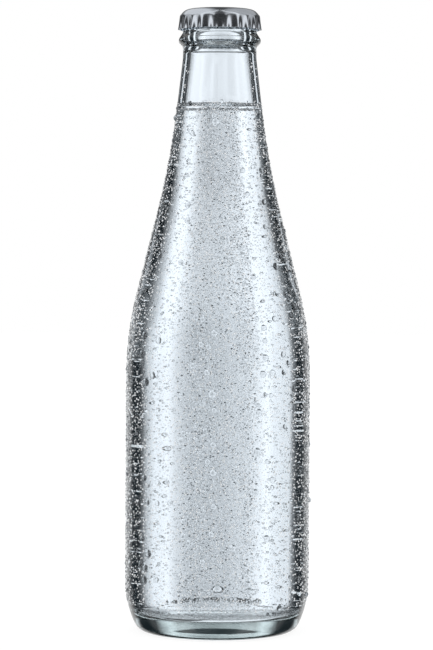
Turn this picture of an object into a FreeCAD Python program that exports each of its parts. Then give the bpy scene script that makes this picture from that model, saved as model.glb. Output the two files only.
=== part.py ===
"""Bottle of sparkling water: clear glass bottle, the water in it and its crimped crown cap.

Millimetres, +Z up. The origin is the centre of the ring the bottle stands on.
"""
import FreeCAD, Part
import math
import os
import Sketcher
from FreeCAD import Vector

doc = FreeCAD.newDocument("SparklingWaterBottle")

# ---------------------------------------------------------------- driving sizes
SIZES = {
    # bottle, outside
    "bottle_height": 212.4,       # to the top of the lip
    "body_diameter": 62.8,
    "taper_height": 109.6,        # from the shoulder's start up to the straight neck
    "shoulder_rise": 28.7,        # height of the convex shoulder arc
    "hollow_rise": 33.9,          # height of the concave arc between shoulder and neck
    "neck_cone_rise": 16.9,       # height of the slightly conical neck
    "neck_cone_flare": 2.0,       # how much wider the cone is at its foot, on one side
    "neck_round_rise": 2.0,       # height of the arc from the cone to the straight neck
    "neck_straight": 3.0,
    "neck_diameter": 25.1,
    # heel and underside
    "heel_height": 16.5,
    "heel_radius": 5.0,
    "standing_diameter": 47.6,    # outer edge of the flat ring the bottle stands on
    "standing_width": 3.0,
    "punt_height": 3.0,
    # 26 mm crown finish, from the bead up to the lip
    "bead_diameter": 28.0,
    "bead_under_rise": 1.3,
    "bead_land": 1.3,
    "bead_over_rise": 2.2,
    "bead_round": 0.5,
    "recess_rise": 2.2,
    "ring_diameter": 26.7,
    "ring_under_rise": 1.0,
    "ring_land": 1.2,
    "lip_round": 3.2,
    # inside
    "body_wall": 3.0,
    "neck_wall": 2.6,
    "base_thickness": 6.8,
    "floor_push_up": 1.6,
    "floor_corner": 6.0,
    "bore_diameter": 16.6,
    "bore_length": 11.0,
    "bore_cone_rise": 3.3,
    "mouth_round": 1.0,
    # water
    "fill_depth": 32.0,           # from the lip down to the water
    # crown cap
    "sheet_thickness": 0.24,
    "crimp_gap": 0.08,            # between the lip and the sheet
    "cap_skirt": 6.6,             # from the lip down to the tips of the flutes
    "cap_diameter": 28.8,         # across the tips of the flutes
    "cap_crown_rise": 0.4,
    "flute_lean": 40,             # degrees round the corner where the flutes start
    "flute_count": 21,
}

sheet = doc.addObject("Spreadsheet::Sheet", "Sizes")
for row, (alias, value) in enumerate(SIZES.items(), start=1):
    sheet.set(f"A{row}", alias.replace("_", " "))
    sheet.set(f"B{row}", str(value))
    sheet.setAlias(f"B{row}", alias)
doc.recompute()


def size(alias):
    """The number that the sheet holds under this alias."""
    return float(sheet.get(alias))


# Heights that several outlines share, as expressions on the sheet.
FINISH = ("Sizes.bead_under_rise + Sizes.bead_land + Sizes.bead_over_rise + Sizes.recess_rise"
          " + Sizes.ring_under_rise + Sizes.ring_land + Sizes.lip_round")
BEAD_FOOT = f"Sizes.bottle_height - ({FINISH})"
NECK_FOOT = f"{BEAD_FOOT} - Sizes.neck_straight"
SHOULDER_FOOT = f"{NECK_FOOT} - Sizes.taper_height"


def number(expression):
    """An expression on the sheet worked out as a number, for a first guess at a sketch's points."""
    for alias in sorted(SIZES, key=len, reverse=True):
        expression = expression.replace(f"Sizes.{alias}", repr(size(alias)))
    return FreeCAD.Units.Quantity(expression).Value


# ---------------------------------------------------------------- sketching
class Outline:
    """A closed outline in a sketch on the XZ plane, drawn point by point from a point on the axis.

    x and z are numbers or expressions on the sheet. An expression also becomes a constraint
    that measures the point from the origin.
    """

    def __init__(self, sketch, z):
        self.sketch = sketch
        self.first = None
        self.last = None
        self.here = (0.0, number(z))
        self.start_height = z

    def bind(self, constraint, expression):
        index = self.sketch.addConstraint(constraint)
        name = f"size_{index}"
        self.sketch.renameConstraint(index, name)
        self.sketch.setExpression(f"Constraints.{name}", expression)

    def place(self, geometry, end, x, z):
        if isinstance(x, str):
            self.bind(Sketcher.Constraint("DistanceX", -1, 1, geometry, end, number(x)), x)
        if isinstance(z, str):
            self.bind(Sketcher.Constraint("DistanceY", -1, 1, geometry, end, number(z)), z)

    def add(self, geometry, start, end, x, z, smooth):
        index = self.sketch.addGeometry(geometry, False)
        if self.last is None:
            self.first = (index, start)
            self.sketch.addConstraint(Sketcher.Constraint("PointOnObject", index, start, -2))
            self.place(index, start, None, self.start_height)
        else:
            kind = "Tangent" if smooth else "Coincident"
            self.sketch.addConstraint(Sketcher.Constraint(kind, *self.last, index, start))
        self.place(index, end, x, z)
        self.last = (index, end)
        return index

    def target(self, x, z):
        return tuple(number(value) if isinstance(value, str) else value for value in (x, z))

    def line(self, x, z, smooth=False, upright=False):
        point = self.target(x, z)
        edge = Part.LineSegment(Vector(*self.here, 0), Vector(*point, 0))
        index = self.add(edge, 1, 2, None if upright else x, z, smooth)
        if upright:
            self.sketch.addConstraint(Sketcher.Constraint("Vertical", index))
        self.here = point
        return index

    def arc(self, x, z, centre, smooth=True, radius=None):
        """An arc about a guessed centre; its direction follows from which side the centre is."""
        point = self.target(x, z)
        middle = Vector(*centre, 0)
        angles = [math.atan2(p[1] - centre[1], p[0] - centre[0]) for p in (self.here, point)]
        turn = (angles[1] - angles[0] + math.pi) % (2 * math.pi) - math.pi
        circle = Part.Circle(middle, Vector(0, 0, 1), math.dist(self.here, centre))
        if turn > 0:
            edge, ends = Part.ArcOfCircle(circle, angles[0], angles[0] + turn), (1, 2)
        else:
            edge, ends = Part.ArcOfCircle(circle, angles[0] + turn, angles[0]), (2, 1)
        index = self.add(edge, *ends, x, z, smooth)
        if radius:
            self.bind(Sketcher.Constraint("Radius", index, number(radius)), radius)
        self.here = point
        return index

    def close(self):
        """Back down the axis to the first point."""
        index = self.sketch.addGeometry(Part.LineSegment(Vector(*self.here, 0), Vector(0, 0, 0)), False)
        self.sketch.addConstraint(Sketcher.Constraint("Coincident", *self.last, index, 1))
        self.sketch.addConstraint(Sketcher.Constraint("Coincident", index, 2, *self.first))
        self.sketch.addConstraint(Sketcher.Constraint("PointOnObject", *self.last, -2))


def plane_of(body, role):
    return next(item for item in body.Origin.OriginFeatures if item.Role == role)


def new_sketch(body, name, role="XZ_Plane"):
    sketch = body.newObject("Sketcher::SketchObject", name)
    sketch.AttachmentSupport = [(plane_of(body, role), "")]
    sketch.MapMode = "FlatFace"
    return sketch


def turned(body, kind, name, sketch):
    """A Revolution or Groove of the sketch about the bottle's axis."""
    feature = body.newObject(kind, name)
    feature.Profile = sketch
    feature.ReferenceAxis = (sketch, ["V_Axis"])
    feature.Angle = 360.0
    sketch.Visibility = False
    return feature


def new_body(label):
    body = doc.addObject("PartDesign::Body", label)
    body.Label = label
    body.Placement = FreeCAD.Placement()
    return body


def draw_taper(outline, body_radius, neck_radius):
    """Shoulder, slope, hollow, conical neck and the arc into the straight neck.

    The same stretch serves outside and inside. Its slope isn't set: tangency finds it.
    """
    radius, neck = number(body_radius), number(neck_radius)
    foot, top = number(SHOULDER_FOOT), number(NECK_FOOT)
    shoulder, hollow = size("shoulder_rise"), size("hollow_rise")
    cone, flare, blend = size("neck_cone_rise"), size("neck_cone_flare"), size("neck_round_rise")
    neck_slope = math.atan2(flare, cone)
    straight = top - foot - shoulder - hollow - cone - blend
    gap = radius - neck - flare - blend * neck_slope / 2 - hollow * neck_slope / 2
    slope = gap / (straight + shoulder / 2 + hollow / 2)

    x = radius - shoulder * math.tan(slope / 2)
    outline.arc(x, f"{SHOULDER_FOOT} + Sizes.shoulder_rise",
                (radius - shoulder / math.sin(slope), foot))
    x -= straight * math.tan(slope)
    cone_foot = f"{NECK_FOOT} - Sizes.neck_round_rise - Sizes.neck_cone_rise"
    outline.line(x, f"{cone_foot} - Sizes.hollow_rise", smooth=True)
    bend = hollow / (math.sin(slope) - math.sin(neck_slope))
    centre = (x + bend * math.cos(slope), number(cone_foot) - hollow + bend * math.sin(slope))
    x -= bend * (math.cos(neck_slope) - math.cos(slope))
    outline.arc(x, cone_foot, centre)
    x -= flare
    index = outline.line(x, f"{NECK_FOOT} - Sizes.neck_round_rise", smooth=True)
    outline.bind(Sketcher.Constraint("DistanceX", index, 2, index, 1, flare), "Sizes.neck_cone_flare")
    outline.arc(neck_radius, NECK_FOOT, (neck + blend / math.sin(neck_slope), top))


# ---------------------------------------------------------------- glass bottle
def draw_outside(sketch):
    radius, neck = "Sizes.body_diameter / 2", "Sizes.neck_diameter / 2"
    standing = "Sizes.standing_diameter / 2"
    inner_edge = f"{standing} - Sizes.standing_width"
    outline = Outline(sketch, "Sizes.punt_height")

    # punt, a shallow dome under the base
    rise, reach = size("punt_height"), number(inner_edge)
    punt = (reach ** 2 + rise ** 2) / (2 * rise)
    dome = outline.arc(inner_edge, "0 mm", (0.0, rise - punt), smooth=False)
    sketch.addConstraint(Sketcher.Constraint("PointOnObject", dome, 3, -2))
    outline.line(standing, "0 mm")

    # heel: a tight arc off the standing ring, then a long one into the side
    height, run = size("heel_height"), number(radius) - number(standing)
    heel = min(size("heel_radius"), 0.7 * run)  # limited by the way out from the ring to the side
    long = (run ** 2 + height ** 2 - 2 * height * heel) / (2 * (run - heel))
    low, high = Vector(number(standing), heel, 0), Vector(number(radius) - long, height, 0)
    meet = low + (low - high).normalize() * heel
    tight = outline.arc(meet.x, meet.y, (low.x, low.y))
    outline.bind(Sketcher.Constraint("Radius", tight, heel),
                 f"min(Sizes.heel_radius; 0.7 * ({radius} - {standing}))")
    outline.arc(radius, "Sizes.heel_height", (high.x, high.y))
    outline.line(radius, SHOULDER_FOOT, smooth=True, upright=True)

    draw_taper(outline, radius, neck)
    outline.line(neck, BEAD_FOOT, smooth=True, upright=True)

    # finish: bead, recess and locking ring, each height stacked on the last
    level = BEAD_FOOT
    for x, rise in (("Sizes.bead_diameter / 2", "bead_under_rise"),
                    ("Sizes.bead_diameter / 2", "bead_land"),
                    (neck, "bead_over_rise"),
                    (neck, "recess_rise"),
                    ("Sizes.ring_diameter / 2", "ring_under_rise"),
                    ("Sizes.ring_diameter / 2", "ring_land")):
        level = f"{level} + Sizes.{rise}"
        outline.line(x, level)
    lip, curl = size("bottle_height"), size("lip_round")
    edge = "Sizes.ring_diameter / 2 - Sizes.lip_round"
    outline.arc(edge, "Sizes.bottle_height", (number(edge), lip - curl), smooth=False,
                radius="Sizes.lip_round")
    outline.line(0.0, "Sizes.bottle_height")
    outline.close()


def draw_inside(sketch, clear_above=1.0):
    """The hollow of the bottle. It runs on a little above the lip, so that the cut is clean."""
    radius = "Sizes.body_diameter / 2 - Sizes.body_wall"
    neck = "Sizes.neck_diameter / 2 - Sizes.neck_wall"
    bore = "Sizes.bore_diameter / 2"
    outline = Outline(sketch, "Sizes.base_thickness + Sizes.floor_push_up")

    # floor: a low dome that runs into the corner arc
    corner, push = size("floor_corner"), size("floor_push_up")
    centre = (number(radius) - corner, size("base_thickness") + corner)
    top = size("base_thickness") + push
    dome = (centre[0] ** 2 + (corner - push) ** 2 - corner ** 2) / (2 * push)
    middle = Vector(0, top - dome, 0)
    meet = middle + (Vector(*centre, 0) - middle).normalize() * dome
    floor = outline.arc(meet.x, meet.y, (middle.x, middle.y), smooth=False)
    sketch.addConstraint(Sketcher.Constraint("PointOnObject", floor, 3, -2))
    outline.arc(radius, "Sizes.base_thickness + Sizes.floor_corner", centre, radius="Sizes.floor_corner")
    outline.line(radius, SHOULDER_FOOT, smooth=True, upright=True)

    draw_taper(outline, radius, neck)
    bore_foot = "Sizes.bottle_height - Sizes.bore_length"
    outline.line(neck, f"{bore_foot} - Sizes.bore_cone_rise", smooth=True, upright=True)
    outline.line(bore, bore_foot)
    outline.line(bore, "Sizes.bottle_height - Sizes.mouth_round", upright=True)
    mouth = f"{bore} + Sizes.mouth_round"
    outline.arc(mouth, "Sizes.bottle_height",
                (number(mouth), size("bottle_height") - size("mouth_round")))
    outline.line(mouth, f"Sizes.bottle_height + {clear_above}")
    outline.line(0.0, f"Sizes.bottle_height + {clear_above}")
    outline.close()


def make_bottle():
    body = new_body("bottle")
    outside = new_sketch(body, "BottleOutside")
    draw_outside(outside)
    turned(body, "PartDesign::Revolution", "BottleBlank", outside)
    doc.recompute()

    inside = new_sketch(body, "BottleInside")
    draw_inside(inside)
    hollow = turned(body, "PartDesign::Groove", "BottleHollow", inside)
    doc.recompute()

    # the two corners of the bead are rounded
    bead_radius = number("Sizes.bead_diameter / 2")
    corners = [f"Edge{i}" for i, edge in enumerate(hollow.Shape.Edges, start=1)
               if not edge.Degenerated and isinstance(edge.Curve, Part.Circle)
               and abs(edge.Curve.Radius - bead_radius) < 1e-4]
    rounding = body.newObject("PartDesign::Fillet", "BeadRounding")
    rounding.Base = (hollow, corners)
    rounding.setExpression("Radius", "Sizes.bead_round")
    body.Tip = rounding
    return body


# ---------------------------------------------------------------- water
def make_water():
    """The hollow filled up to the water line."""
    body = new_body("water")
    inside = new_sketch(body, "WaterOutline")
    draw_inside(inside)
    turned(body, "PartDesign::Revolution", "WaterFull", inside)
    doc.recompute()

    above = new_sketch(body, "AboveWater", "XY_Plane")
    above.setExpression("AttachmentOffset.Base.z", "Sizes.bottle_height - Sizes.fill_depth")
    circle = above.addGeometry(Part.Circle(Vector(0, 0, 0), Vector(0, 0, 1), size("body_diameter")), False)
    above.addConstraint(Sketcher.Constraint("Coincident", circle, 3, -1, 1))
    ring = above.addConstraint(Sketcher.Constraint("Radius", circle, size("body_diameter")))
    above.renameConstraint(ring, "reach")
    above.setExpression("Constraints.reach", "Sizes.body_diameter")
    level = body.newObject("PartDesign::Pocket", "WaterLevel")
    level.Profile = above
    level.Type = "ThroughAll"
    level.Reversed = True
    above.Visibility = False
    body.Tip = level
    return body


# ---------------------------------------------------------------- crown cap
def on_arc(centre, radius, angle):
    """A point of a circle that stands upright in the XZ plane."""
    return centre + Vector(radius * math.cos(angle), 0, radius * math.sin(angle))


def flute_ring(height, valley, depth, steps=6):
    """One closed wavy curve round the cap, an edge for each flute, from valley to valley.

    A valley faces the front, along -Y.
    """
    pitch = 2 * math.pi / size("flute_count")
    edges = []
    for flute in range(int(size("flute_count"))):
        points = []
        for step in range(steps + 1):
            crest = ((1 - math.cos(2 * math.pi * step / steps)) / 2) ** 1.3
            turn = (flute + step / steps) * pitch
            radius = valley + depth * crest
            points.append(Vector(radius * math.sin(turn), -radius * math.cos(turn), height))
        start, end = (Vector(math.cos(turn), math.sin(turn), 0)
                      for turn in (flute * pitch, (flute + 1) * pitch))
        curve = Part.BSplineCurve()
        curve.interpolate(Points=points, InitialTangent=start, FinalTangent=end)
        edges.append(curve.toShape())
    return Part.Wire(edges)


def cap_skin(inset, below=0.0):
    """The solid under the cap's outer skin, or under a skin inset from it.

    A turned blank has the crown, the corner and a cone that flares past the flutes; a fluted
    loft takes it down to the valleys, which lie against the locking ring. The corner is an
    arc about the same centre as the rounding of the lip.
    """
    lip, curl = size("bottle_height"), size("lip_round")
    centre = Vector(size("ring_diameter") / 2 - curl, 0, lip - curl)
    corner = curl + size("crimp_gap") + size("sheet_thickness") - inset
    rise = size("cap_crown_rise")
    tips = lip - size("cap_skirt") - below

    crown_radius = corner + (centre.x ** 2 + rise ** 2) / (2 * rise)
    top = centre + Vector(-centre.x, 0, corner + rise)
    crown_centre = top - Vector(0, 0, crown_radius)
    meet = math.atan2(centre.z - crown_centre.z, centre.x)
    lean = math.radians(size("flute_lean"))
    crown_end = on_arc(centre, corner, meet)
    crown_middle = on_arc(crown_centre, crown_radius, (meet + math.pi / 2) / 2)
    corner_end = on_arc(centre, corner, lean)
    foot = corner_end + Vector(math.tan(lean), 0, -1) * (corner_end.z - tips + 1.0)
    axis_foot = Vector(0, 0, foot.z)
    blank = Part.Face(Part.Wire([
        Part.Arc(top, crown_middle, crown_end).toShape(),
        Part.Arc(crown_end, on_arc(centre, corner, (meet + lean) / 2), corner_end).toShape(),
        Part.makeLine(corner_end, foot),
        Part.makeLine(foot, axis_foot),
        Part.makeLine(axis_foot, top),
    ])).revolve(Vector(0, 0, 0), Vector(0, 0, 1), 360)

    valley = centre.x + corner
    depth = size("cap_diameter") / 2 - inset - valley
    steps = 5
    rings = []
    for step in range(-2, steps + 1):
        share = step / steps
        height = corner_end.z + (tips - corner_end.z) * share
        rings.append(flute_ring(height, valley, depth * max(share, 0.0) ** 1.3))
    return blank.common(Part.makeLoft(rings, True))


def make_crown_cap():
    """Pressed sheet: one skin less an inset one. Neither primitives nor sketches give its flutes."""
    cap = doc.addObject("Part::Feature", "crown_cap")
    cap.Label = "crown_cap"
    cap.Shape = cap_skin(0.0).cut(cap_skin(size("sheet_thickness"), below=0.4))
    cap.Placement = FreeCAD.Placement()
    return cap


# ---------------------------------------------------------------- build, check and write
parts = [make_bottle(), make_water(), make_crown_cap()]
doc.recompute()

for item in doc.Objects:
    if "Invalid" in item.State or "Error" in item.State:
        raise RuntimeError(f"{item.Label} failed: {item.State}")
    if item.isDerivedFrom("Sketcher::SketchObject") and not item.FullyConstrained:
        raise RuntimeError(f"sketch {item.Label} isn't fully constrained")
for part in parts:
    if part.Shape.isNull() or not part.Shape.isValid() or len(part.Shape.Solids) != 1:
        raise RuntimeError(f"{part.Label} isn't one valid solid")

os.makedirs("parts", exist_ok=True)
for part in parts:
    part.Shape.exportStep(os.path.join("parts", part.Label + ".step"))
    box = part.Shape.optimalBoundingBox()
    print(f"{part.Label}: {part.Shape.Volume / 1000:.2f} cm3, z {box.ZMin:.2f} to {box.ZMax:.2f}, "
          f"across {box.XLength:.2f}")
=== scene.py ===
import math
import random
import bpy
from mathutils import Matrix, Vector


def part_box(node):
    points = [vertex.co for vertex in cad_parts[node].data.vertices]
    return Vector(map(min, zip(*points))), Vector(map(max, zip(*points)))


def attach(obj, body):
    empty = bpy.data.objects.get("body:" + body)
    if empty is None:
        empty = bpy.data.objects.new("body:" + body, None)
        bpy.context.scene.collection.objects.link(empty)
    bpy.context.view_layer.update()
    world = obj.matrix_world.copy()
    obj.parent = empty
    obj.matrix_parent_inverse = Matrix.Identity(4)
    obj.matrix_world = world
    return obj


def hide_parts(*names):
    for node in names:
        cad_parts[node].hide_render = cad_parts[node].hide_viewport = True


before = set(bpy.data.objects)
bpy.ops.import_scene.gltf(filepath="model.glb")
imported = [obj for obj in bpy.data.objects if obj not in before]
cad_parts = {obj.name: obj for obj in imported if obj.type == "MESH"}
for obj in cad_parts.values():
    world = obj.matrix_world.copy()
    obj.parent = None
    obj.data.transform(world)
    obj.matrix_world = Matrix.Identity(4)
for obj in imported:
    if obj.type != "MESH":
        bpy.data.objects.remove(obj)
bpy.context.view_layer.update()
mm = 0.001               # in metres
weldWithin = 0.002 * mm  # points of a profile that lie nearer than this become one
root = "root"  # the bottle has no joints, so everything rides on its one body
bottleLow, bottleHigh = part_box("bottle")
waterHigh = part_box("water")[1]
capLow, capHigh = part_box("crown_cap")
print("frame loaded:", len(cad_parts), "nodes")


# modelling helpers

def clearSelection():
    if bpy.context.object and bpy.context.object.mode != "OBJECT":
        bpy.ops.object.mode_set(mode="OBJECT")
    bpy.ops.object.select_all(action="DESELECT")


def between(low, high, share):
    return low + (high - low) * share


def arc(centre, radius, start, end, steps):
    # points of an upright circle, angles in radians, both ends included
    points = []
    for step in range(steps + 1):
        angle = start + (end - start) * step / steps
        points.append((centre[0] + radius * math.cos(angle), centre[1] + radius * math.sin(angle)))
    return points


def softened(corners, steps=5):
    # a run of (x, z, cut) corners, each cut back along both sides and rounded
    points = [corners[0][:2]]
    for before, corner, after in zip(corners, corners[1:], corners[2:]):
        place = Vector(corner[:2])
        into = (Vector(before[:2]) - place).normalized() * corner[2]
        outOf = (Vector(after[:2]) - place).normalized() * corner[2]
        for step in range(steps + 1):
            share = step / steps
            points.append(tuple(place + into * (1 - share) ** 2 + outOf * share ** 2))
    points.append(corners[-1][:2])
    return points


def spinProfile(name, points, turns, smoothAngle=40):
    # one vertex is extruded along the profile (mm), then the line is spun about the upright axis
    clearSelection()
    bpy.ops.mesh.primitive_plane_add(size=mm, location=(points[0][0] * mm, 0, points[0][1] * mm))
    piece = bpy.context.object
    piece.name = name
    piece.data.name = name
    bpy.ops.object.transform_apply(location=True, rotation=False, scale=False)
    bpy.ops.object.mode_set(mode="EDIT")
    bpy.ops.mesh.select_mode(type="VERT")
    bpy.ops.mesh.select_all(action="SELECT")
    bpy.ops.mesh.merge(type="CENTER")
    for start, end in zip(points, points[1:]):
        step = ((end[0] - start[0]) * mm, 0, (end[1] - start[1]) * mm)
        bpy.ops.mesh.extrude_region_move(TRANSFORM_OT_translate={"value": step})
    bpy.ops.mesh.select_all(action="SELECT")
    bpy.ops.mesh.spin(steps=turns, angle=math.tau, center=(0, 0, 0), axis=(0, 0, 1))
    bpy.ops.mesh.select_all(action="SELECT")
    bpy.ops.mesh.remove_doubles(threshold=weldWithin)
    bpy.ops.mesh.normals_make_consistent(inside=False)
    bpy.ops.object.mode_set(mode="OBJECT")
    bpy.ops.object.shade_smooth_by_angle(angle=math.radians(smoothAngle))
    return piece


# material helpers

def srgb(hexColour):
    # "#rrggbb" as written on screen, turned to the linear colour that Blender works in
    parts = [int(hexColour[i:i + 2], 16) / 255 for i in (1, 3, 5)]
    linear = [p / 12.92 if p <= 0.04045 else ((p + 0.055) / 1.055) ** 2.4 for p in parts]
    return (*linear, 1.0)


def addNode(tree, kind, settings=None, links=None):
    # settings: attribute or socket name -> value; links: socket name -> the output that feeds it
    node = tree.nodes.new(kind)
    for name, value in (settings or {}).items():
        if not isinstance(name, int) and hasattr(node, name):
            setattr(node, name, value)
        else:
            node.inputs[name].default_value = value
    for name, source in (links or {}).items():
        tree.links.new(source, node.inputs[name])
    return node


def newMaterial(name):
    material = bpy.data.materials.new(name)
    material.use_nodes = True
    material.node_tree.nodes.clear()
    return material, material.node_tree


def setRamp(node, stops, interpolation="EASE"):
    # stops: position -> grey level or hex colour
    ramp = node.color_ramp
    ramp.interpolation = interpolation
    while len(ramp.elements) < len(stops):
        ramp.elements.new(1.0)
    for element, (place, tone) in zip(ramp.elements, sorted(stops.items())):
        element.position = place
        element.color = srgb(tone) if isinstance(tone, str) else (tone, tone, tone, 1)
    return node


# outline of the bottle, in mm, from the same sizes as the CAD part

bottle = {
    "bodyDiameter": (bottleHigh.x - bottleLow.x) / mm,
    "height": bottleHigh.z / mm,
    "shoulderFoot": 87.4, "shoulderRise": 28.7, "hollowRise": 33.9,
    "coneRise": 16.9, "coneFlare": 2.0, "neckRound": 2.0, "neckFoot": 197.0,
    "neckDiameter": 25.1,
    "standingDiameter": 47.6, "standingWidth": 3.0, "standingEdge": 0.6,
    "puntHeight": 3.0, "puntStop": 0.01,  # radians that the punt's dome ends short of the ring
    "heelRadius": 5.0, "heelHeight": 16.5,
    "bodyWall": 3.0, "neckWall": 2.6, "baseThickness": 6.8, "floorPushUp": 1.6, "floorCorner": 6.0,
    "boreDiameter": 16.6, "boreLength": 11.0, "boreCone": 3.3, "boreRound": 0.8, "mouthRound": 1.0,
    "beadDiameter": 28.0, "beadFoot": 200.0, "ringDiameter": 26.7, "lipRound": 3.2,
    # corners of the finish: on which diameter, mm over the bead's foot, rounding
    "finish": (("neck", -2.0, 0), ("neck", 0.0, 0.7), ("bead", 1.3, 0.6), ("bead", 2.6, 0.6),
               ("neck", 4.8, 0.6), ("neck", 7.0, 0.4), ("ring", 8.0, 0.3)),
    "turns": 224,  # faces round the bottle
}


def taper(radius, neck):
    # shoulder, slope, hollow, conical neck and the arc into the straight neck, all tangent
    foot, top = bottle["shoulderFoot"], bottle["neckFoot"]
    shoulder, hollow = bottle["shoulderRise"], bottle["hollowRise"]
    cone, flare, blend = bottle["coneRise"], bottle["coneFlare"], bottle["neckRound"]
    neckSlope = math.atan2(flare, cone)
    straight = top - foot - shoulder - hollow - cone - blend
    goal = radius - neck - flare - blend * math.tan(neckSlope / 2)
    low, high = 0.0, 1.0  # the slope is found by halving
    for _ in range(50):
        slope = (low + high) / 2
        reach = (shoulder * math.tan(slope / 2) + straight * math.tan(slope)
                 + hollow * math.tan((slope + neckSlope) / 2))
        low, high = (slope, high) if reach < goal else (low, slope)
    points = arc((radius - shoulder / math.sin(slope), foot), shoulder / math.sin(slope),
                 0, slope, steps=14)
    x, z = points[-1][0] - straight * math.tan(slope), points[-1][1] + straight
    points.append(((points[-1][0] + x) / 2, (points[-1][1] + z) / 2))
    bend = hollow / (math.sin(slope) - math.sin(neckSlope))
    points += arc((x + bend * math.cos(slope), z + bend * math.sin(slope)), bend,
                  math.pi + slope, math.pi + neckSlope, steps=14)
    last = blend / math.sin(neckSlope)
    points += arc((neck + last, top), last, math.pi + neckSlope, math.pi, steps=6)
    return points


def outsidePoints():
    radius, neck = bottle["bodyDiameter"] / 2, bottle["neckDiameter"] / 2
    standing = bottle["standingDiameter"] / 2
    inner, rise = standing - bottle["standingWidth"], bottle["puntHeight"]
    punt = (inner ** 2 + rise ** 2) / (2 * rise)
    edge = math.atan2(punt - rise, inner) + bottle["puntStop"]
    points = arc((0, rise - punt), punt, math.pi / 2, edge, steps=12)
    points.append((inner + bottle["standingEdge"], 0.0))
    heel, height = bottle["heelRadius"], bottle["heelHeight"]
    run = radius - standing
    long = (run ** 2 + height ** 2 - 2 * height * heel) / (2 * (run - heel))
    turn = math.atan2(heel - height, standing - radius + long)
    points += arc((standing, heel), heel, -math.pi / 2, turn, steps=16)
    points += arc((radius - long, height), long, turn, 0, steps=8)[1:]
    points += taper(radius, neck)
    reach = {"neck": neck, "bead": bottle["beadDiameter"] / 2, "ring": bottle["ringDiameter"] / 2}
    lip = (reach["ring"] - bottle["lipRound"], bottle["height"] - bottle["lipRound"])
    corners = [(reach[name], bottle["beadFoot"] + over, cut) for name, over, cut in bottle["finish"]]
    points += softened(corners + [(reach["ring"], lip[1], 0)])[:-1]
    return points + arc(lip, bottle["lipRound"], 0, math.pi / 2, steps=12)


def insidePoints(grow=0.0):
    # the hollow, from the floor to the top of the neck; grow lets it into the wall all round
    radius = bottle["bodyDiameter"] / 2 - bottle["bodyWall"]
    neck = bottle["neckDiameter"] / 2 - bottle["neckWall"] + grow
    corner, push = bottle["floorCorner"], bottle["floorPushUp"]
    centre = (radius - corner, bottle["baseThickness"] + corner)
    top = bottle["baseThickness"] + push
    dome = (centre[0] ** 2 + (corner - push) ** 2 - corner ** 2) / (2 * push)
    lean = math.atan2(centre[1] - top + dome, centre[0])
    points = arc((0, top - dome), dome - grow, math.pi / 2, lean, steps=12)
    points += arc(centre, corner + grow, lean - math.pi, 0, steps=14)[1:]
    return points + taper(radius + grow, neck)


def borePoints():
    # the mouth and the narrower bore under it, from the lip down
    bore, neck = bottle["boreDiameter"] / 2, bottle["neckDiameter"] / 2 - bottle["neckWall"]
    top, foot = bottle["height"], bottle["height"] - bottle["boreLength"]
    rim, cut = bottle["mouthRound"], bottle["boreRound"]
    points = arc((bore + rim, top - rim), rim, math.pi / 2, math.pi, steps=8)
    return points + softened([(bore, top - rim, 0), (bore, foot, cut),
                              (neck, foot - bottle["boreCone"], cut),
                              (neck, bottle["neckFoot"], 0)])[1:-1]


# flint glass bottle: outside, lip, bore and hollow are one closed skin

bottleGlass = spinProfile(
    "bottleGlass", outsidePoints() + borePoints() + insidePoints()[::-1], bottle["turns"])
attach(bottleGlass, root)
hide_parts("bottle")
print("bottle glass:", len(bottleGlass.data.polygons), "faces")


# sparkling water: fills the hollow up to the water line and reaches just into the glass

water = {
    "intoGlass": 0.15,       # how far the skin stands in the wall, so that no gap of air shows
    "meniscusRise": 1.5,     # the water climbs the glass by this much, up to the fill line
    "meniscusReach": 0.9,    # and falls back to level over about this distance
    "meniscusSpan": 5.0,     # reaches from the wall to where the curve ends
    "meniscusSteps": 12, "meniscusCrowd": 1.6,  # steps of the curve, closer together at the wall
    "wallStop": 1.0,         # mm under the level surface where the wall's own points end
    "turns": 208,
}


def waterPoints():
    rise, reach = water["meniscusRise"], water["meniscusReach"]
    level = waterHigh.z / mm - rise
    hollow = insidePoints(water["intoGlass"])
    points = [p for p in hollow if p[1] < level - water["wallStop"]]
    last, following = points[-1], next(p for p in hollow if p[1] >= level - water["wallStop"])
    edge = level + rise
    wall = between(last[0], following[0], (edge - last[1]) / (following[1] - last[1]))
    points.append((wall, edge))
    for step in range(water["meniscusSteps"] + 1):
        share = (step / water["meniscusSteps"]) ** water["meniscusCrowd"]
        back = water["meniscusSpan"] * reach * share
        points.append((wall - water["intoGlass"] - back, level + rise * math.exp(-back / reach)))
    points.append((wall * 0.3, level))  # a point on the way keeps the faces of the middle short
    points.append((0.0, level))
    return points


sparklingWater = spinProfile("sparklingWater", waterPoints(), water["turns"])
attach(sparklingWater, root)
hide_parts("water")
print("water:", len(sparklingWater.data.polygons), "faces")


# crown cap: pressed tinplate, crimped into 21 flutes

cap = {
    "flutes": 21, "facesPerFlute": 14,
    "sheet": 0.24, "crimpGap": 0.08, "crownRise": 0.4,
    "cornerCentre": bottle["ringDiameter"] / 2 - bottle["lipRound"],
    "fluteLean": 40,         # degrees, where the flutes leave the rounded corner
    "skirtSteps": 12,
    "crestSharpness": 1.3, "flareCurve": 1.3,  # how narrow the crests are, how late they deepen
    "tips": capLow.z / mm, "outside": (capHigh.x - capLow.x) / mm,
}


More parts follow.
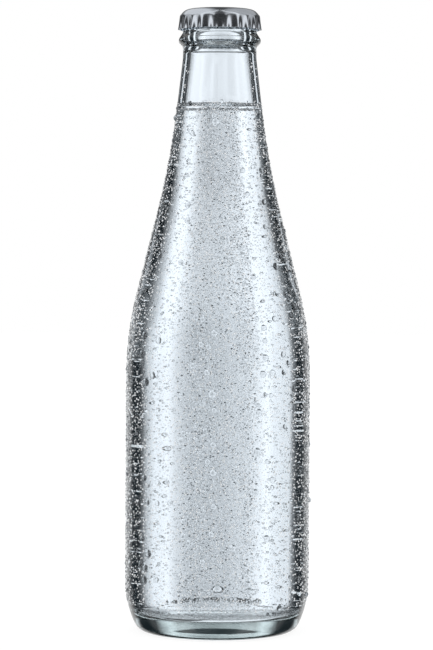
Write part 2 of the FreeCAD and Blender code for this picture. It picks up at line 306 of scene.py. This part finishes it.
def capPoints():
    lip = bottle["height"]
    centre = (cap["cornerCentre"], lip - bottle["lipRound"])
    corner = bottle["lipRound"] + cap["crimpGap"] + cap["sheet"]
    rise = cap["crownRise"]
    crown = corner + (centre[0] ** 2 + rise ** 2) / (2 * rise)
    crownFoot = centre[1] + corner + rise - crown
    meet = math.atan2(centre[1] - crownFoot, centre[0])
    points = arc((0, crownFoot), crown, math.pi / 2, meet, steps=10)
    points += arc(centre, corner, meet, math.radians(cap["fluteLean"]), steps=8)[1:]
    valley, foot = centre[0] + corner, centre[1] + corner * math.sin(math.radians(cap["fluteLean"]))
    for step in range(1, cap["skirtSteps"] + 1):
        z = between(foot, cap["tips"], step / cap["skirtSteps"])
        below = z < centre[1]
        onCorner = centre[0] + math.sqrt(max(corner ** 2 - (z - centre[1]) ** 2, 0))
        points.append((valley if below else onCorner, z))
    return points, foot


def crimp(piece, fluteTop):
    # draws the skirt out into flutes that deepen towards the tips
    valley = cap["cornerCentre"] + bottle["lipRound"] + cap["crimpGap"] + cap["sheet"]
    depth = cap["outside"] / 2 - valley
    lean = math.radians(cap["fluteLean"])
    cornerOut = cap["cornerCentre"] + (valley - cap["cornerCentre"]) * math.cos(lean)
    for vertex in piece.data.vertices:
        x, y, z = vertex.co / mm
        if z > fluteTop - 0.01:  # mm; the crown and its corner stay round
            continue
        share = (fluteTop - z) / (fluteTop - cap["tips"])
        phase = math.atan2(x, -y) * cap["flutes"]  # a valley faces the front
        crest = ((1 - math.cos(phase)) / 2) ** cap["crestSharpness"]
        own = math.hypot(x, y)
        fluted = valley + depth * share ** cap["flareCurve"] * crest
        cone = cornerOut + (fluteTop - z) * math.tan(lean)
        wide = max(own, min(fluted, cone))
        vertex.co.x *= wide / own
        vertex.co.y *= wide / own


points, fluteTop = capPoints()
crownCap = spinProfile("crownCap", points, cap["flutes"] * cap["facesPerFlute"])
crimp(crownCap, fluteTop)
clearSelection()
crownCap.select_set(True)
bpy.context.view_layer.objects.active = crownCap
solid = crownCap.modifiers.new("sheet", "SOLIDIFY")
solid.thickness = cap["sheet"] * mm
solid.offset = -1
bpy.ops.object.modifier_apply(modifier="sheet")
bpy.ops.object.shade_smooth_by_angle(angle=math.radians(50))
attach(crownCap, root)
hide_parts("crown_cap")
print("crown cap:", len(crownCap.data.polygons), "faces")

liner = {"radius": 10.0, "low": 0.01, "high": 0.07, "turns": 96}  # low and high are mm over the lip
linerLow, linerHigh = bottle["height"] + liner["low"], bottle["height"] + liner["high"]
capLiner = spinProfile("capLiner", [(0.0, linerLow), (liner["radius"], linerLow),
                                    (liner["radius"], linerHigh), (0.0, linerHigh)], liner["turns"])
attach(capLiner, root)
print("cap liner:", len(capLiner.data.polygons), "faces")


# condensation on the outside, each kind of drop one mesh of its own

mist = {
    "low": 10.0, "high": waterHigh.z / mm + 0.5,  # mm, the cold stretch that water condenses on
    "sink": 0.05,         # mm that a drop's foot stands in the glass
    "apart": 1.0,         # gap between drops, as a share of their radii
    "neckSides": (52, 72), "neckShare": 0.5,  # above the water: only here, and how thick it lies
    "smallMore": 1.6,     # the higher, the more of the drops are near their smallest size
    "oval": 0.08, "lobes": 0.03,              # how far a drop's foot is from round
    "hang": 1.06, "sag": 0.08,                # drops hang a little lower than they are wide
    "triesPerDrop": 20, "cell": 2.0,          # mm, side of the cells that neighbours are looked up in
}
coverage = {  # how thickly each kind lies: (degrees round from the front, share)
    "everywhere": ((0, 1), (180, 1)),
    "largeDrops": ((0, 1), (58, 1), (68, 0.12), (180, 0.12)),
    "drops": ((0, 1), (20, 1), (27, 0.15), (46, 0.15), (54, 0.17), (84, 0.17), (96, 0.4),
              (150, 0.4), (154, 0.2), (166, 0.2), (170, 1), (180, 1)),
    # dew: white specks, partly fine dew and partly painted glints of the drops
    "dewAndGlints": ((0, 0.9), (18, 0.9), (27, 0.1), (48, 0.1), (54, 0.15), (70, 0.13), (82, 0.05),
            (106, 0.03), (108, 0), (166, 0), (170, 0.8), (180, 0.8)),
    "waterLine": ((0, 1), (85, 1), (95, 0.15), (180, 0.15)),
    "nearFloor": ((0, 1), (60, 1), (75, 0.35), (180, 0.35)),
    "farFloor": ((0, 0), (158, 0), (172, 1), (180, 1)),
}
dropKinds = {  # smallest and largest radius in mm, height over radius, and how finely each is modelled
    "largeDrops": {"count": 120, "radius": (0.8, 1.35), "height": (0.9, 1.1),
                   "sides": 18, "rings": 5, "seed": 13, "lie": "largeDrops"},
    "condensationBeads": {"count": 900, "radius": (0.36, 0.65), "height": (0.55, 0.8),
                          "sides": 9, "rings": 3, "seed": 8, "lie": "drops"},
    "fineDrops": {"count": 5500, "radius": (0.26, 0.4), "height": (0.65, 0.9),
                  "sides": 6, "rings": 2, "seed": 5, "lie": "drops"},
    "mistDrops": {"count": 12000, "radius": (0.18, 0.28), "height": (0.7, 1.0),
                  "sides": 4, "rings": 2, "seed": 3, "lie": "drops"},
    # white specks: fine dew, and painted glints of the drops
    "dewSpecksAndGlints": {"count": 9000, "radius": (0.21, 0.35), "height": (0.9, 1.2),
                  "sides": 4, "rings": 2, "seed": 17, "lie": "dewAndGlints",
                  "high": bottle["height"] - 17},  # as far as the bead
}


def dropShape(sides, rings):
    # half a sphere of radius 1, cut level and closed, as vertices and faces
    clearSelection()
    bpy.ops.mesh.primitive_uv_sphere_add(segments=sides, ring_count=rings * 2, radius=1)
    dome = bpy.context.object
    bpy.ops.object.mode_set(mode="EDIT")
    bpy.ops.mesh.select_all(action="SELECT")
    bpy.ops.mesh.bisect(plane_co=(0, 0, -0.001), plane_no=(0, 0, 1), clear_inner=True, use_fill=True)
    bpy.ops.mesh.select_all(action="SELECT")
    bpy.ops.mesh.remove_doubles(threshold=0.01)
    bpy.ops.mesh.normals_make_consistent(inside=False)
    bpy.ops.object.mode_set(mode="OBJECT")
    places = [tuple(vertex.co) for vertex in dome.data.vertices]
    faces = [tuple(face.vertices) for face in dome.data.polygons]
    bpy.data.objects.remove(dome)
    return places, faces


def wallAt(profile, height):
    # how far out an upright profile stands at this height, and how steeply it narrows
    for lower, upper in zip(profile, profile[1:]):
        if lower[1] <= height <= upper[1]:
            share = (height - lower[1]) / (upper[1] - lower[1])
            return (between(lower[0], upper[0], share),
                    math.atan2(lower[0] - upper[0], upper[1] - lower[1]))
    return profile[0][0], 0.0


def degreesFromFront(turn):
    return math.degrees(math.acos(-math.sin(turn)))


def thickness(kind, fromFront):
    table = coverage[kind.get("lie", "everywhere")]
    for (start, low), (end, high) in zip(table, table[1:]):
        if start <= fromFront <= end:
            return low + (high - low) * (fromFront - start) / (end - start)


def looseMesh(name, vertices, polygons):
    # many small shapes in one piece, which is left selected
    mesh = bpy.data.meshes.new(name)
    mesh.from_pydata(vertices, [], polygons)
    piece = bpy.data.objects.new(name, mesh)
    bpy.context.collection.objects.link(piece)
    clearSelection()
    piece.select_set(True)
    bpy.context.view_layer.objects.active = piece
    return piece


def scatterPlaces(kind, taken):
    # seeded places on the glass, thinned so that drops keep apart
    chance = random.Random(kind["seed"])
    outline = [p for p in outsidePoints() if p[1] > 0.5]  # without the underside
    widest = bottle["bodyDiameter"] / 2
    places = []
    tries = 0
    while len(places) < kind["count"] and tries < kind["count"] * mist["triesPerDrop"]:
        tries += 1
        height = chance.uniform(mist["low"], kind.get("high", mist["high"]))
        radius, lean = wallAt(outline, height)
        if chance.random() > radius / widest:
            continue
        turn = chance.uniform(0, math.tau)
        fromFront = degreesFromFront(turn)
        if chance.random() > thickness(kind, fromFront):
            continue
        onNeckSide = mist["neckSides"][0] < fromFront < mist["neckSides"][1]
        if height > mist["high"] and (not onNeckSide or chance.random() > mist["neckShare"]):
            continue
        size = between(*kind["radius"], chance.random() ** mist["smallMore"])
        spot = Vector((radius * math.cos(turn), radius * math.sin(turn), height))
        key = tuple(int(math.floor(c / mist["cell"])) for c in spot)
        near = (other for dx in (-1, 0, 1) for dy in (-1, 0, 1) for dz in (-1, 0, 1)
                for other in taken.get((key[0] + dx, key[1] + dy, key[2] + dz), ()))
        if any((spot - other[0]).length < (size + other[1]) * mist["apart"] for other in near):
            continue
        taken.setdefault(key, []).append((spot, size))
        places.append((spot, turn, lean, size, chance.random(), chance.random(), chance.random()))
    return places


def dropMesh(name, kind, places):
    corners, faces = dropShape(kind["sides"], kind["rings"])
    vertices, polygons = [], []
    for spot, turn, lean, size, odd, tall, tilt in places:
        outward = Vector((math.cos(turn) * math.cos(lean), math.sin(turn) * math.cos(lean),
                          math.sin(lean)))
        across = Vector((-math.sin(turn), math.cos(turn), 0))
        upward = outward.cross(across)
        rise = size * between(*kind["height"], tall)
        first = len(vertices)
        for x, y, z in corners:
            angle = math.atan2(y, x)
            wobble = (1 + mist["oval"] * (odd - 0.3) * math.cos(2 * (angle + tilt * 6))
                      + mist["lobes"] * math.cos(3 * angle + odd * 9))
            sag = mist["hang"] + mist["sag"] * max(-y, 0)
            corner = (spot + across * (x * size * wobble) + upward * (y * size * wobble * sag)
                      + outward * (z * rise - mist["sink"]))
            vertices.append(corner * mm)
        polygons += [tuple(first + index for index in face) for face in faces]
    piece = looseMesh(name, vertices, polygons)
    bpy.ops.object.shade_smooth_by_angle(angle=math.radians(65))
    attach(piece, root)
    print(name + ":", len(places), "drops")
    return piece


taken = {}
drops = {name: dropMesh(name, kind, scatterPlaces(kind, taken)) for name, kind in dropKinds.items()}


# gas bubbles on the inside of the glass, each kind one mesh too

bubbles = {  # "smooth" is how finely a bubble is modelled; low and high are mm, "lie" as for the drops
    "gasBubbles": {"count": 900, "radius": (0.2, 0.5), "smooth": 2, "seed": 21},
    "fineGasBubbles": {"count": 5000, "radius": (0.14, 0.26), "smooth": 1, "seed": 34, "lie": "drops"},
    "floorBubbles": {"count": 560, "radius": (0.22, 0.42), "smooth": 2, "seed": 55,
                     "lie": "nearFloor", "low": 7.9, "high": 9.3},
    "farFloorBubbles": {"count": 110, "radius": (0.24, 0.42), "smooth": 2, "seed": 34,
                        "lie": "farFloor", "low": 9.7, "high": 10.0},
    "waterLineBubbles": {"count": 360, "radius": (0.24, 0.42), "smooth": 2, "seed": 89,
                         "lie": "waterLine", "low": waterHigh.z / mm - 2.6,
                         "high": waterHigh.z / mm - 2.1},
}
bubbleRange = {
    "low": 16, "high": waterHigh.z / mm - 2,  # mm, where a kind doesn't say
    "offWall": 0.1,                           # mm of water left between a bubble and the glass
    "floor": 7,                               # mm, the wall is looked up above this
    "smallMore": 2,                           # the higher, the more of them are near their smallest size
}


def bubbleMesh(name, kind):
    clearSelection()
    bpy.ops.mesh.primitive_ico_sphere_add(subdivisions=kind["smooth"], radius=1)
    ball = bpy.context.object
    corners = [vertex.co.copy() for vertex in ball.data.vertices]
    faces = [tuple(face.vertices) for face in ball.data.polygons]
    bpy.data.objects.remove(ball)
    wall = [p for p in insidePoints() if p[1] > bubbleRange["floor"]]
    chance = random.Random(kind["seed"])
    vertices, polygons = [], []
    for place in range(kind["count"]):
        height = chance.uniform(kind.get("low", bubbleRange["low"]),
                                kind.get("high", bubbleRange["high"]))
        size = between(*kind["radius"], chance.random() ** bubbleRange["smallMore"])
        turn = chance.uniform(0, math.tau)
        while chance.random() > thickness(kind, degreesFromFront(turn)):
            turn = chance.uniform(0, math.tau)
        reach = wallAt(wall, height)[0] - size - bubbleRange["offWall"]
        spot = Vector((reach * math.cos(turn), reach * math.sin(turn), height))
        first = place * len(corners)
        vertices += [(spot + corner * size) * mm for corner in corners]
        polygons += [tuple(first + index for index in face) for face in faces]
    piece = looseMesh(name, vertices, polygons)
    bpy.ops.object.shade_smooth()
    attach(piece, root)
    print(name + ":", kind["count"], "bubbles")
    return piece


gas = [bubbleMesh(name, kind) for name, kind in bubbles.items()]


# materials

clear = {"Base Color": srgb("#ffffff"), "Roughness": 0.0, "Transmission Weight": 1.0}


def flintGlass():
    # soda-lime flint glass, blown in a mould and fire polished: clear, with a faint green in thick parts
    material, tree = newMaterial("flintGlass")
    shader = addNode(tree, "ShaderNodeBsdfPrincipled", {**clear, "IOR": 1.5})
    depth = addNode(tree, "ShaderNodeVolumeAbsorption", {"Color": srgb("#b9d8cf"), "Density": 10.0})
    addNode(tree, "ShaderNodeOutputMaterial", None, {"Surface": shader.outputs["BSDF"],
                                                     "Volume": depth.outputs["Volume"]})
    return material


def clearWater():
    # carbonated water: colourless, a touch blue through its whole depth
    material, tree = newMaterial("sparklingWaterClear")
    shader = addNode(tree, "ShaderNodeBsdfPrincipled", {**clear, "IOR": 1.333})
    depth = addNode(tree, "ShaderNodeVolumeAbsorption", {"Color": srgb("#d5e4ee"), "Density": 2.0})
    addNode(tree, "ShaderNodeOutputMaterial", None, {"Surface": shader.outputs["BSDF"],
                                                     "Volume": depth.outputs["Volume"]})
    return material


def condensedWater():
    # water condensed from the air on cold glass: clear, smooth lens-shaped drops
    material, tree = newMaterial("condensedWater")
    shader = addNode(tree, "ShaderNodeBsdfPrincipled", {**clear, "IOR": 1.333})
    addNode(tree, "ShaderNodeOutputMaterial", None, {"Surface": shader.outputs["BSDF"]})
    return material


def mouldedLiner():
    # soft white polyethylene, moulded into the cap as its seal: matt
    material, tree = newMaterial("mouldedLiner")
    shader = addNode(tree, "ShaderNodeBsdfPrincipled", {
        "Base Color": srgb("#eceeee"), "Roughness": 0.45, "IOR": 1.51})
    addNode(tree, "ShaderNodeOutputMaterial", None, {"Surface": shader.outputs["BSDF"]})
    return material


def whiteDewPaintedGlints():
    # dew in drops too small to see through: it scatters the light and looks white, and the white also
    # stands in for painted glints on the drops
    material, tree = newMaterial("whiteDewPaintedGlints")
    shader = addNode(tree, "ShaderNodeBsdfPrincipled", {
        "Base Color": srgb("#fbfdff"), "Roughness": 0.35, "IOR": 1.333})
    addNode(tree, "ShaderNodeOutputMaterial", None, {"Surface": shader.outputs["BSDF"]})
    return material


def carbonDioxide():
    # gas bubbles held on the inside of the wall: clear, and optically thinner than the water round them
    material, tree = newMaterial("carbonDioxideBubble")
    shader = addNode(tree, "ShaderNodeBsdfPrincipled", {**clear, "IOR": 0.75})
    addNode(tree, "ShaderNodeOutputMaterial", None, {"Surface": shader.outputs["BSDF"]})
    return material


def pressedTinplate():
    # tin-plated sheet steel, rolled bright and pressed: mirror-like with a slight satin from the rolls
    material, tree = newMaterial("pressedTinplate")
    place = addNode(tree, "ShaderNodeTexCoord")
    streaks = addNode(tree, "ShaderNodeMapping", {"Scale": (1, 12, 1)},
                      {"Vector": place.outputs["Object"]})
    grain = addNode(tree, "ShaderNodeTexNoise", {"Scale": 900.0, "Detail": 3.0},
                    {"Vector": streaks.outputs["Vector"]})
    satin = addNode(tree, "ShaderNodeMapRange", {"To Min": 0.10, "To Max": 0.2},
                    {"Value": grain.outputs["Fac"]})
    shader = addNode(tree, "ShaderNodeBsdfPrincipled", {"Base Color": srgb("#d4dae2"), "Metallic": 1.0},
                     {"Roughness": satin.outputs["Result"]})
    addNode(tree, "ShaderNodeOutputMaterial", None, {"Surface": shader.outputs["BSDF"]})
    return material


bottleGlass.data.materials.append(flintGlass())
sparklingWater.data.materials.append(clearWater())
crownCap.data.materials.append(pressedTinplate())
capLiner.data.materials.append(mouldedLiner())
beadWater, dewAndGlints, bubbleGas = condensedWater(), whiteDewPaintedGlints(), carbonDioxide()
# the dew specks take a white that is partly the scatter of fine dew, partly painted glints of the drops
for name, piece in drops.items():
    piece.data.materials.append(dewAndGlints if name == "dewSpecksAndGlints" else beadWater)
for piece in gas:
    piece.data.materials.append(bubbleGas)
print("materials ready")


# light: a bright field round the bottle, with dark cards between white ones for crisp glass edges

light = {
    "cards": 1.2,            # the field behind is over white, as glass and water take some of it
    "cardTint": "#f0f7ff",   # daylight tubes
    "haze": "#0a161c",       # faint blue light from the dark cloth between the cards
    # low down near one diagonal the cards stand turned: below these degrees behind and in front
    "turnBehind": -17.3, "turnFront": -8.5, "turnBlend": 0.1,
    "turnWithin": 40,        # degrees to either side of the diagonal
    "deepFrom": -16, "deepTo": -20, "deep": 0.95,  # lower down, where no card stands turned
    "topFrom": 21, "topTo": 24, "top": 0.5,        # darker above the cards
    "solidDepth": 2.5,       # fewer passes through a surface than this: solid glass alone
    "ambient": 1.0,
}
cardRow = {   # grey level from 45 degrees right of the middle of one quarter of the field to 45 left
    0.0: 0.003, 0.11: 0.003, 0.155: 0.16, 0.19: 0.85, 0.33: 1.05, 0.41: 0.74, 0.5: 0.55,
    0.565: 0.45, 0.62: 0.62, 0.68: 1.0, 0.75: 1.0, 0.80: 0.6, 0.84: 0.08, 0.87: 0.003, 1.0: 0.003,
}
lowRow = {    # the same lower down, where the taper looks
    0.0: 0.003, 0.08: 0.01, 0.16: 0.1, 0.21: 0.7, 0.28: 0.98, 0.36: 0.98, 0.44: 0.82, 0.5: 0.70,
    0.56: 0.66, 0.62: 0.8, 0.68: 1.05, 0.73: 1.05, 0.79: 0.45, 0.84: 0.1, 0.88: 0.003, 1.0: 0.003,
}
highRow = {   # the same above the horizon, where the empty neck looks
    0.0: 0.01, 0.14: 0.01, 0.21: 0.3, 0.28: 0.9, 0.33: 1.05, 0.42: 0.9, 0.5: 0.8,
    0.58: 0.84, 0.66: 1.05, 0.72: 0.9, 0.79: 0.3, 0.86: 0.01, 1.0: 0.01,
}
heelRow = {   # what is seen through solid glass alone, as at the heel
    0.0: 0.01, 0.12: 0.02, 0.17: 0.7, 0.24: 1.1, 0.29: 0.05, 0.5: 0.03, 0.71: 0.06, 0.76: 1.1,
    0.83: 0.8, 0.88: 0.02, 1.0: 0.01,
}
rowChanges = (  # which row takes over from the one before, and between which degrees of height
    (lowRow, -6.6, -9.6), (highRow, 1.0, 3.5))
mirrored = {  # what shiny surfaces see; heights are sines of the angle over the horizon
    "wallFrom": 132, "wallTo": 146,  # degrees round from the front: dark before, white behind
    "wallDark": 0.02, "wallWhite": 0.9, "wallTop": 0.05, "wallFade": 0.09, "overWall": 0.15,
    "ceilingFrom": 0.3, "ceilingFull": 0.45, "ceiling": 0.8,
    "gapFrom": 0.08, "gapTo": 0.26, "gap": 0.12,       # half width of the dark gap, and what it lets by
    "slopeFrom": -0.3, "slopeTo": 0.3, "right": 0.6,   # the ceiling's right side against its left
    # grey level of the narrow cards, from the front (0) round either side to the back (1)
    "sideRow": {0.0: 0.03, 0.19: 0.05, 0.26: 1.0, 0.37: 1.0, 0.42: 0.06, 0.52: 0.04, 0.59: 0.7,
                0.66: 0.04, 1.0: 0.02},
}


def studioWorld():
    world = bpy.data.worlds.new("studioWorld")
    bpy.context.scene.world = world
    world.use_nodes = True
    tree = world.node_tree
    tree.nodes.clear()
    place = addNode(tree, "ShaderNodeTexCoord")
    part = addNode(tree, "ShaderNodeSeparateXYZ", None, {"Vector": place.outputs["Generated"]})
    azimuth = addNode(tree, "ShaderNodeMath", {"operation": "ARCTAN2"},
                      {0: part.outputs["X"], 1: part.outputs["Y"]})
    # where the cards stand turned, so that the bottle looks the same from higher up
    eighth, quarterTurn = math.radians(45), math.radians(90)
    diagonal = addNode(tree, "ShaderNodeMath", {"operation": "ADD", 1: eighth}, {0: azimuth.outputs[0]})
    aside = addNode(tree, "ShaderNodeMath", {"operation": "WRAP", 1: quarterTurn, 2: -quarterTurn},
                    {0: diagonal.outputs[0]})
    spread = addNode(tree, "ShaderNodeMath", {"operation": "ABSOLUTE"}, {0: aside.outputs[0]})
    near = addNode(tree, "ShaderNodeMath", {
        "operation": "LESS_THAN", 1: math.radians(light["turnWithin"])}, {0: spread.outputs[0]})
    border = addNode(tree, "ShaderNodeMapRange", {
        "From Min": -light["turnBlend"], "From Max": light["turnBlend"],
        "To Min": math.sin(math.radians(light["turnFront"])),
        "To Max": math.sin(math.radians(light["turnBehind"]))}, {"Value": part.outputs["Y"]})
    low = addNode(tree, "ShaderNodeMath", {"operation": "LESS_THAN"},
                  {0: part.outputs["Z"], 1: border.outputs["Result"]})
    both = addNode(tree, "ShaderNodeMath", {"operation": "MULTIPLY"},
                   {0: near.outputs[0], 1: low.outputs[0]})
    turned = addNode(tree, "ShaderNodeMath", {"operation": "MULTIPLY_ADD", 1: eighth},
                     {0: both.outputs[0], 2: azimuth.outputs[0]})
    # the same field stands on each of the four sides
    quarter = addNode(tree, "ShaderNodeMath", {"operation": "WRAP", 1: eighth, 2: -eighth},
                      {0: turned.outputs[0]})
    across = addNode(tree, "ShaderNodeMapRange", {"From Min": -eighth, "From Max": eighth},
                     {"Value": quarter.outputs[0]})
    cards = addNode(tree, "ShaderNodeValToRGB", None, {"Fac": across.outputs["Result"]})
    rows = setRamp(cards, cardRow, "LINEAR").outputs["Color"]
    for row, start, end in rowChanges:
        level = addNode(tree, "ShaderNodeValToRGB", None, {"Fac": across.outputs["Result"]})
        setRamp(level, row, "LINEAR")
        share = addNode(tree, "ShaderNodeMapRange", {
            "From Min": math.sin(math.radians(start)), "From Max": math.sin(math.radians(end))},
            {"Value": part.outputs["Z"]})
        rows = addNode(tree, "ShaderNodeMix", {"data_type": "RGBA"},
                       {0: share.outputs["Result"], 6: rows, 7: level.outputs["Color"]}).outputs[2]
    deep = addNode(tree, "ShaderNodeMapRange", {
        "From Min": math.sin(math.radians(light["deepFrom"])),
        "From Max": math.sin(math.radians(light["deepTo"]))}, {"Value": part.outputs["Z"]})
    straight = addNode(tree, "ShaderNodeMath", {"operation": "SUBTRACT", 0: 1.0}, {1: both.outputs[0]})
    lowest = addNode(tree, "ShaderNodeMath", {"operation": "MULTIPLY"},
                     {0: deep.outputs["Result"], 1: straight.outputs[0]})
    based = addNode(tree, "ShaderNodeMix", {"data_type": "RGBA", 7: (light["deep"],) * 3 + (1,)},
                    {0: lowest.outputs[0], 6: rows})
    top = addNode(tree, "ShaderNodeMapRange", {
        "From Min": math.sin(math.radians(light["topFrom"])),
        "From Max": math.sin(math.radians(light["topTo"])), "To Min": 1.0, "To Max": light["top"]},
        {"Value": part.outputs["Z"]})
    kind = addNode(tree, "ShaderNodeLightPath")
    solid = addNode(tree, "ShaderNodeMath", {"operation": "LESS_THAN", 1: light["solidDepth"]},
                    {0: kind.outputs["Transmission Depth"]})
    heel = addNode(tree, "ShaderNodeValToRGB", None, {"Fac": across.outputs["Result"]})
    setRamp(heel, heelRow, "LINEAR")
    topped = addNode(tree, "ShaderNodeMix", {"data_type": "RGBA", "blend_type": "MULTIPLY", 0: 1.0},
                     {6: based.outputs[2], 7: top.outputs["Result"]})
    seen = addNode(tree, "ShaderNodeMix", {"data_type": "RGBA"},
                   {0: solid.outputs[0], 6: topped.outputs[2], 7: heel.outputs["Color"]})
    tint = addNode(tree, "ShaderNodeMix", {
        "data_type": "RGBA", "blend_type": "MULTIPLY", 0: 1.0, 7: srgb(light["cardTint"])},
        {6: seen.outputs[2]})
    hazy = addNode(tree, "ShaderNodeMix", {
        "data_type": "RGBA", "blend_type": "ADD", 0: 1.0, 7: srgb(light["haze"])}, {6: tint.outputs[2]})
    field = addNode(tree, "ShaderNodeBackground", {"Strength": light["cards"]},
                    {"Color": hazy.outputs[2]})

    # what shiny surfaces mirror: white low behind the bottle, dark towards the front
    minusY = addNode(tree, "ShaderNodeMath", {"operation": "MULTIPLY", 1: -1.0}, {0: part.outputs["Y"]})
    away = addNode(tree, "ShaderNodeMath", {"operation": "ARCCOSINE"}, {0: minusY.outputs[0]})
    behind = addNode(tree, "ShaderNodeMapRange", {
        "From Min": math.radians(mirrored["wallFrom"]), "From Max": math.radians(mirrored["wallTo"]),
        "To Min": mirrored["wallDark"], "To Max": mirrored["wallWhite"]}, {"Value": away.outputs[0]})
    horizon = addNode(tree, "ShaderNodeMapRange", {
        "From Min": mirrored["wallTop"], "From Max": mirrored["wallFade"], "To Min": 1.0,
        "To Max": mirrored["overWall"]}, {"Value": part.outputs["Z"]})
    wall = addNode(tree, "ShaderNodeMath", {"operation": "MULTIPLY"},
                   {0: behind.outputs["Result"], 1: horizon.outputs["Result"]})
    # a soft ceiling, brighter on the left, with a dark gap along its middle, for the cap
    overhead = addNode(tree, "ShaderNodeMapRange", {
        "From Min": mirrored["ceilingFrom"], "From Max": mirrored["ceilingFull"], "To Min": 0.0,
        "To Max": mirrored["ceiling"]}, {"Value": part.outputs["Z"]})
    sideways = addNode(tree, "ShaderNodeMath", {"operation": "ABSOLUTE"}, {0: part.outputs["X"]})
    gap = addNode(tree, "ShaderNodeMapRange", {
        "From Min": mirrored["gapFrom"], "From Max": mirrored["gapTo"], "To Min": mirrored["gap"],
        "To Max": 1.0}, {"Value": sideways.outputs[0]})
    slope = addNode(tree, "ShaderNodeMapRange", {
        "From Min": mirrored["slopeFrom"], "From Max": mirrored["slopeTo"], "To Min": 1.0,
        "To Max": mirrored["right"]}, {"Value": part.outputs["X"]})
    parted = addNode(tree, "ShaderNodeMath", {"operation": "MULTIPLY"},
                     {0: overhead.outputs["Result"], 1: gap.outputs["Result"]})
    ceiling = addNode(tree, "ShaderNodeMath", {"operation": "MULTIPLY"},
                      {0: parted.outputs[0], 1: slope.outputs["Result"]})
    # tall narrow cards on either side
    sideward = addNode(tree, "ShaderNodeMath", {"operation": "ARCTAN2"},
                       {0: sideways.outputs[0], 1: minusY.outputs[0]})
    share = addNode(tree, "ShaderNodeMapRange", {"From Max": math.radians(180)},
                    {"Value": sideward.outputs[0]})
    sideCards = addNode(tree, "ShaderNodeValToRGB", None, {"Fac": share.outputs["Result"]})
    setRamp(sideCards, mirrored["sideRow"], "LINEAR")
    brightest = ceiling.outputs[0]
    for other in (wall.outputs[0], sideCards.outputs["Color"]):
        brightest = addNode(tree, "ShaderNodeMath", {"operation": "MAXIMUM"},
                            {0: brightest, 1: other}).outputs[0]
    mirror = addNode(tree, "ShaderNodeBackground", None, {"Color": brightest})

    white = addNode(tree, "ShaderNodeBackground", {"Color": srgb("#ffffff"), "Strength": 1.0})
    mixed = addNode(tree, "ShaderNodeBackground", {
        "Color": srgb("#ffffff"), "Strength": light["ambient"]})
    shown = (("Is Glossy Ray", mirror), ("Is Transmission Ray", field), ("Is Camera Ray", white))
    for flag, source in shown:
        mixed = addNode(tree, "ShaderNodeMixShader", None,
                        {0: kind.outputs[flag], 1: mixed.outputs[0], 2: source.outputs[0]})
    addNode(tree, "ShaderNodeOutputWorld", None, {"Surface": mixed.outputs[0]})


studioWorld()
print("light ready")


paper = {"size": 6.0, "under": 0.02, "glow": 0.9, "grey": 0.16}  # metres across, mm under the bottle


def paperFloor():
    # matt white paper that keeps a faint shadow; glass and metal see the bright field instead
    material, tree = newMaterial("paperFloor")
    glow = addNode(tree, "ShaderNodeEmission", {"Color": srgb("#ffffff"), "Strength": paper["glow"]})
    matt = addNode(tree, "ShaderNodeBsdfDiffuse", {"Color": (paper["grey"],) * 3 + (1,)})
    both = addNode(tree, "ShaderNodeAddShader", None, {0: glow.outputs[0], 1: matt.outputs[0]})
    unseen = addNode(tree, "ShaderNodeBsdfTransparent")
    kind = addNode(tree, "ShaderNodeLightPath")
    pick = addNode(tree, "ShaderNodeMixShader", None,
                   {0: kind.outputs["Is Camera Ray"], 1: unseen.outputs[0], 2: both.outputs[0]})
    addNode(tree, "ShaderNodeOutputMaterial", None, {"Surface": pick.outputs[0]})
    return material


clearSelection()
bpy.ops.mesh.primitive_plane_add(size=paper["size"], location=(0, 0, bottleLow.z - paper["under"] * mm))
floor = bpy.context.object
floor.name = "paperFloor"
bpy.ops.object.transform_apply(location=True, rotation=False, scale=False)
floor.data.materials.append(paperFloor())


# camera: level with the shoulder, tilted down a little

view = {  # mm and degrees; clip is in metres
    "distance": 893, "height": 132, "aside": -0.74, "tilt": 1.736, "roll": -0.315, "lens": 144.3,
    "sensor": 36, "clip": 0.01,
}
bpy.ops.object.camera_add(
    location=(view["aside"] * mm, -view["distance"] * mm, view["height"] * mm),
    rotation=(math.radians(90 - view["tilt"]), math.radians(view["roll"]), 0))
camera = bpy.context.object
camera.data.lens = view["lens"]
camera.data.sensor_width = view["sensor"]
camera.data.clip_start = view["clip"]
bpy.context.scene.camera = camera
bpy.context.scene.view_settings.view_transform = "Standard"
print("stage ready")
